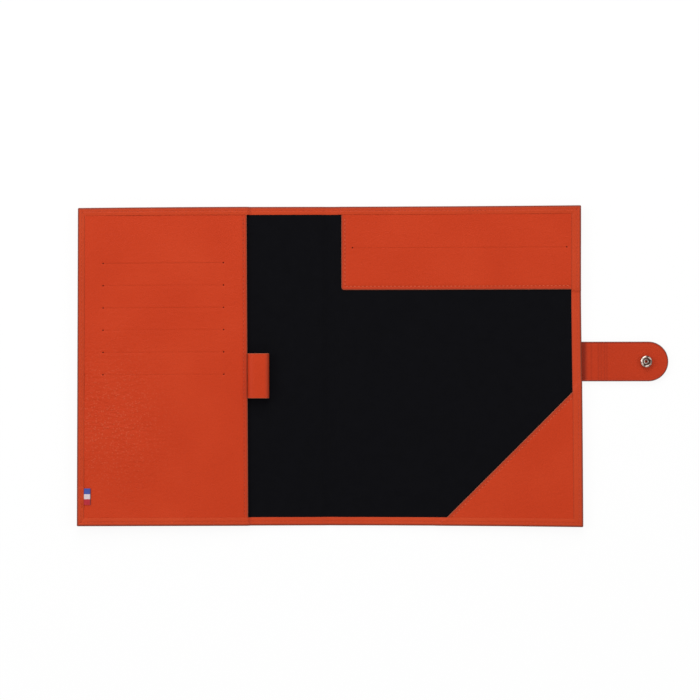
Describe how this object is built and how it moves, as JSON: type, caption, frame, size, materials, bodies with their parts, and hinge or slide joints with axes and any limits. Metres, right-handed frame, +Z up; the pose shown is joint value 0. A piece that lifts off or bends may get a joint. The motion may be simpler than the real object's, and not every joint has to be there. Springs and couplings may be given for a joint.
{
  "type": "leather padfolio",
  "caption": "Leather folder for an A5 writing pad, lying open, with a slit card panel, a pen loop, a pad pocket, a corner pocket and a closing strap with a snap.",
  "frame": {"origin": "middle of the spine's flat underside, which lies on the table", "axes": "+X from the card side to the closing strap, +Y to the head of the folder, +Z up from the table"},
  "size_m": [0.4312, 0.233, 0.0102],
  "materials": {
    "cover_leather": "pebbled, semi-matt",
    "panel_leather": "pebbled, semi-matt",
    "strap_leather": "pebbled, painted edges",
    "lining_cloth": "matt woven",
    "pocket_cloth": "matt woven",
    "stiffener_board": "grey board",
    "woven_ribbon": "woven stripe",
    "nickel_plate": "nickel plated"
  },
  "bodies": {
    "front_cover": {"front_cover_leather": "cover_leather", "front_board": "stiffener_board", "front_lining": "lining_cloth", "card_pocket_1": "pocket_cloth", "card_pocket_2": "pocket_cloth", "card_pocket_3": "pocket_cloth", "card_pocket_4": "pocket_cloth", "card_pocket_5": "pocket_cloth", "card_pocket_6": "pocket_cloth", "card_panel": "panel_leather", "pen_loop": "panel_leather", "ribbon_tab": "woven_ribbon", "snap_stud": "nickel_plate", "stud_post": "nickel_plate"},
    "spine": {"spine_leather": "cover_leather", "spine_lining": "lining_cloth"},
    "back_cover": {"back_cover_leather": "cover_leather", "back_board": "stiffener_board", "back_lining": "lining_cloth", "pad_pocket": "panel_leather", "corner_pocket": "panel_leather", "strap_base_inner": "strap_leather", "strap_base_outer": "strap_leather"},
    "strap_bridge": {"strap_bridge_inner": "strap_leather", "strap_bridge_outer": "strap_leather"},
    "strap_tip": {"strap_tip_inner": "strap_leather", "strap_tip_outer": "strap_leather", "snap_socket": "nickel_plate", "snap_spring": "nickel_plate", "snap_cap": "nickel_plate"}
  },
  "joints": [
    {"name": "spine_fold", "type": "hinge", "parent": "back_cover", "child": "spine", "pos_m": [0.006, 0, 0.001], "axis": [0, 1, 0], "range_deg": [0, 89.15]},
    {"name": "front_fold", "type": "hinge", "parent": "spine", "child": "front_cover", "pos_m": [-0.006, 0, 0.001], "axis": [0, 1, 0], "range_deg": [0, 88.98]},
    {"name": "strap_root_fold", "type": "hinge", "parent": "back_cover", "child": "strap_bridge", "pos_m": [0.185, 0.0031, 0.0026], "axis": [0, -1, 0], "range_deg": [0, 90]},
    {"name": "strap_bend_fold", "type": "hinge", "parent": "strap_bridge", "child": "strap_tip", "pos_m": [0.20269, 0.0031, 0.00286], "axis": [0, -1, 0], "range_deg": [0, 90]}
  ]
}
